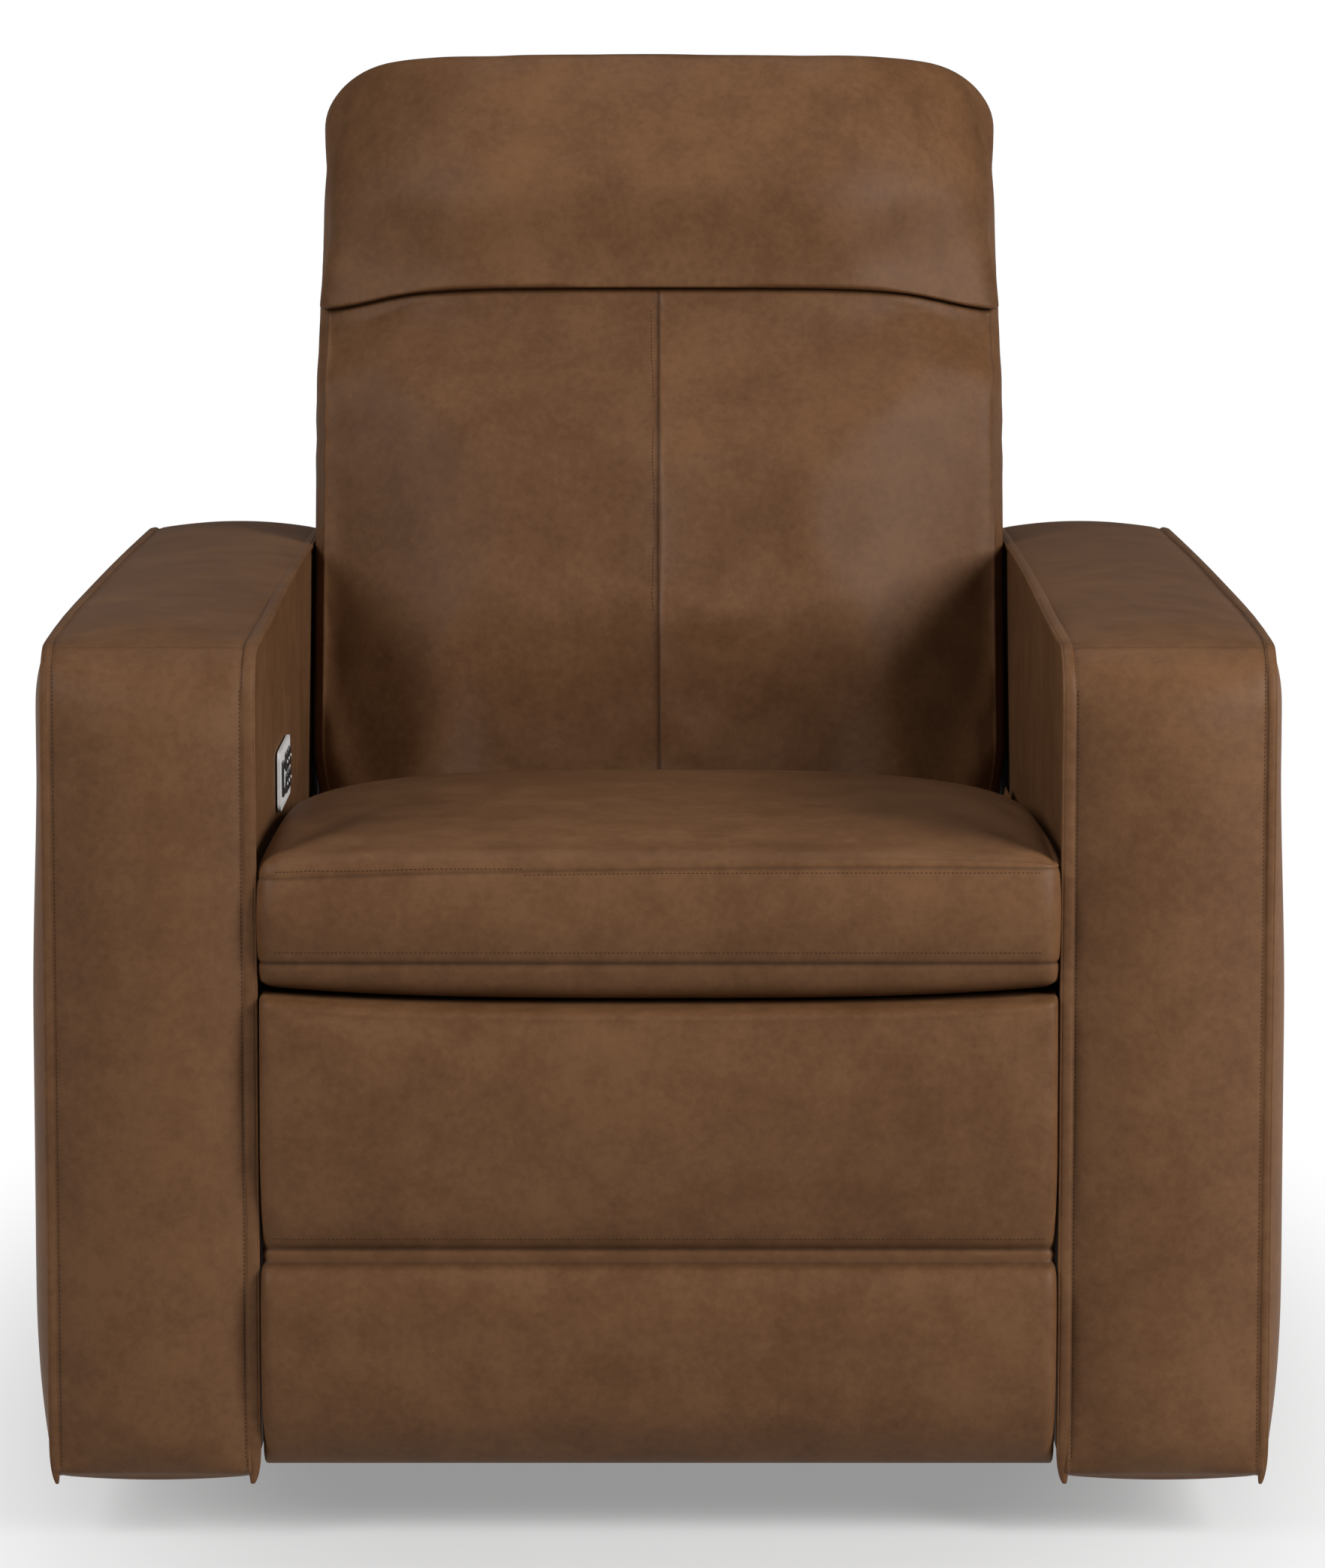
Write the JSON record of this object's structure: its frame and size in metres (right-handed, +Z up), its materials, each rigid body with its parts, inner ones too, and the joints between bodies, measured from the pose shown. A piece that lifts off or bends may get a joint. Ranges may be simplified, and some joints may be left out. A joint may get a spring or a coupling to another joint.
{
  "type": "swivel glider recliner",
  "caption": "Leather armchair on a swivel ring base with hanging glide links, reclining back, tilting headrest, linkage footrest and a key plate inside one arm.",
  "frame": {"origin": "on the floor at the swivel axis, which is the middle of the footprint", "axes": "+Z up, the chair faces -Y, +X is on the right of someone looking at its front"},
  "size_m": [0.88, 0.923, 1.052],
  "materials": {
    "leather": "soft brown leather with light mottling and a low sheen",
    "wood": "raw plywood, hidden inside",
    "black_steel": "black painted steel",
    "zinc_steel": "zinc plated steel",
    "black_plastic": "matt black plastic",
    "key_plastic": "dark glossy key",
    "webbing": "woven elastic webbing",
    "silver_trim": "satin silver plate"
  },
  "bodies": {
    "base": {"floor_glides": "black_plastic", "base_ring": "black_steel", "base_cross": "black_steel", "swivel_post": "black_steel", "swivel_washer": "black_plastic"},
    "stage": {"swivel_plate": "black_steel", "stage_frame": "black_steel", "stage_hangers": "black_steel"},
    "front_swing": {"front_swing_links": "black_steel"},
    "rear_swing": {"rear_swing_links": "black_steel"},
    "chassis": {"glide_rails": "black_steel", "front_cross_tube": "black_steel", "rear_cross_tube": "black_steel", "side_plates": "black_steel", "left_arm_cover": "leather", "right_arm_cover": "leather", "left_arm_frame": "wood", "right_arm_frame": "wood", "arm_bolts": "zinc_steel", "rear_panel": "leather", "power_inlet": "black_plastic", "seat_frame": "wood", "seat_webbing": "webbing", "seat_cushion": "leather", "footrest_motor": "black_plastic", "actuator_bracket": "black_steel", "control_bezel": "silver_trim", "control_housing": "black_plastic"},
    "back": {"back_cushion": "leather", "back_shell": "leather", "back_frame": "wood", "back_webbing": "webbing", "back_brackets": "black_steel", "back_crank_tube": "black_steel", "headrest_bearings": "black_steel", "headrest_motor": "black_plastic"},
    "headrest": {"headrest_cushion": "leather", "headrest_board": "wood", "headrest_arms": "black_steel"},
    "footrest_drive": {"drive_tube": "zinc_steel", "drive_links": "black_steel"},
    "footrest_rear": {"rear_links": "black_steel"},
    "footrest_reach": {"reach_links": "black_steel"},
    "footrest_guide": {"guide_links": "black_steel"},
    "footrest": {"footrest_brackets": "black_steel", "footrest_board": "wood", "footrest_pad": "leather"},
    "actuator": {"actuator_body": "black_plastic"},
    "actuator_rod": {"actuator_rod": "zinc_steel"},
    "headrest_up_key": {"headrest_up_key": "key_plastic"},
    "recline_key": {"recline_key": "key_plastic"},
    "footrest_open_key": {"footrest_open_key": "key_plastic"},
    "headrest_down_key": {"headrest_down_key": "key_plastic"},
    "upright_key": {"upright_key": "key_plastic"},
    "footrest_close_key": {"footrest_close_key": "key_plastic"},
    "home_key": {"home_key": "key_plastic"}
  },
  "joints": [
    {"name": "swivel", "type": "hinge", "parent": "base", "child": "stage", "pos_m": [0, 0, 0], "axis": [0, 0, 1], "continuous": true},
    {"name": "glide", "type": "hinge", "parent": "stage", "child": "front_swing", "pos_m": [0, -0.13, 0.215], "axis": [-1, 0, 0], "range_deg": [-22, 22]},
    {"name": "glide_rear", "type": "hinge", "parent": "stage", "child": "rear_swing", "pos_m": [0, 0.13, 0.215], "axis": [-1, 0, 0], "range_deg": [-22, 22]},
    {"name": "glide_level", "type": "hinge", "parent": "front_swing", "child": "chassis", "pos_m": [0, -0.13, 0.085], "axis": [-1, 0, 0], "range_deg": [-22, 22]},
    {"name": "recline", "type": "hinge", "parent": "chassis", "child": "back", "pos_m": [0, 0.152, 0.345], "axis": [-1, 0, 0], "range_deg": [0, 42]},
    {"name": "headrest_tilt", "type": "hinge", "parent": "back", "child": "headrest", "pos_m": [0, 0.33096, 0.75142], "axis": [1, 0, 0], "range_deg": [0, 30]},
    {"name": "footrest_lift", "type": "hinge", "parent": "chassis", "child": "footrest_drive", "pos_m": [0, -0.306, 0.336], "axis": [-1, 0, 0], "range_deg": [0, 96]},
    {"name": "footrest_rear_pivot", "type": "hinge", "parent": "chassis", "child": "footrest_rear", "pos_m": [0, -0.24848, 0.30794], "axis": [-1, 0, 0], "range_deg": [0, 96]},
    {"name": "footrest_knee", "type": "hinge", "parent": "footrest_drive", "child": "footrest_reach", "pos_m": [0, -0.21609, 0.11348], "axis": [-1, 0, 0], "range_deg": [-96, 0]},
    {"name": "footrest_guide_pivot", "type": "hinge", "parent": "footrest_drive", "child": "footrest_guide", "pos_m": [0, -0.24232, 0.17838], "axis": [-1, 0, 0], "range_deg": [-96, 0]},
    {"name": "footrest_ankle", "type": "hinge", "parent": "footrest_reach", "child": "footrest", "pos_m": [0, -0.342, 0.236], "axis": [-1, 0, 0], "range_deg": [0, 96]},
    {"name": "actuator_swing", "type": "hinge", "parent": "chassis", "child": "actuator", "pos_m": [0, -0.1, 0.15], "axis": [-1, 0, 0], "range_deg": [0, 0.1888]},
    {"name": "actuator_stroke", "type": "slide", "parent": "actuator", "child": "actuator_rod", "axis": [0, 0.8882, 0.4595], "range_m": [-0.04443, 0]},
    {"name": "headrest_up_key_press", "type": "slide", "parent": "chassis", "child": "headrest_up_key", "axis": [-1, 0, 0], "range_m": [0, 0.001], "stiffness_N_per_m": 600, "springref_m": -0.0005},
    {"name": "recline_key_press", "type": "slide", "parent": "chassis", "child": "recline_key", "axis": [-1, 0, 0], "range_m": [0, 0.001], "stiffness_N_per_m": 600, "springref_m": -0.0005},
    {"name": "footrest_open_key_press", "type": "slide", "parent": "chassis", "child": "footrest_open_key", "axis": [-1, 0, 0], "range_m": [0, 0.001], "stiffness_N_per_m": 600, "springref_m": -0.0005},
    {"name": "headrest_down_key_press", "type": "slide", "parent": "chassis", "child": "headrest_down_key", "axis": [-1, 0, 0], "range_m": [0, 0.001], "stiffness_N_per_m": 600, "springref_m": -0.0005},
    {"name": "upright_key_press", "type": "slide", "parent": "chassis", "child": "upright_key", "axis": [-1, 0, 0], "range_m": [0, 0.001], "stiffness_N_per_m": 600, "springref_m": -0.0005},
    {"name": "footrest_close_key_press", "type": "slide", "parent": "chassis", "child": "footrest_close_key", "axis": [-1, 0, 0], "range_m": [0, 0.001], "stiffness_N_per_m": 600, "springref_m": -0.0005},
    {"name": "home_key_press", "type": "slide", "parent": "chassis", "child": "home_key", "axis": [-1, 0, 0], "range_m": [0, 0.001], "stiffness_N_per_m": 600, "springref_m": -0.0005}
  ],
  "couplings": [
    {"joint": "glide_rear", "follows": "glide", "ratio": 1},
    {"joint": "glide_level", "follows": "glide", "ratio": -1},
    {"joint": "footrest_rear_pivot", "follows": "footrest_lift", "ratio": 1},
    {"joint": "footrest_knee", "follows": "footrest_lift", "ratio": -1},
    {"joint": "footrest_guide_pivot", "follows": "footrest_lift", "ratio": -1},
    {"joint": "footrest_ankle", "follows": "footrest_lift", "ratio": 1},
    {"joint": "actuator_swing", "follows": "recline", "ratio": 0.004495},
    {"joint": "actuator_stroke", "follows": "recline", "m_per_rad": -0.060605}
  ]
}
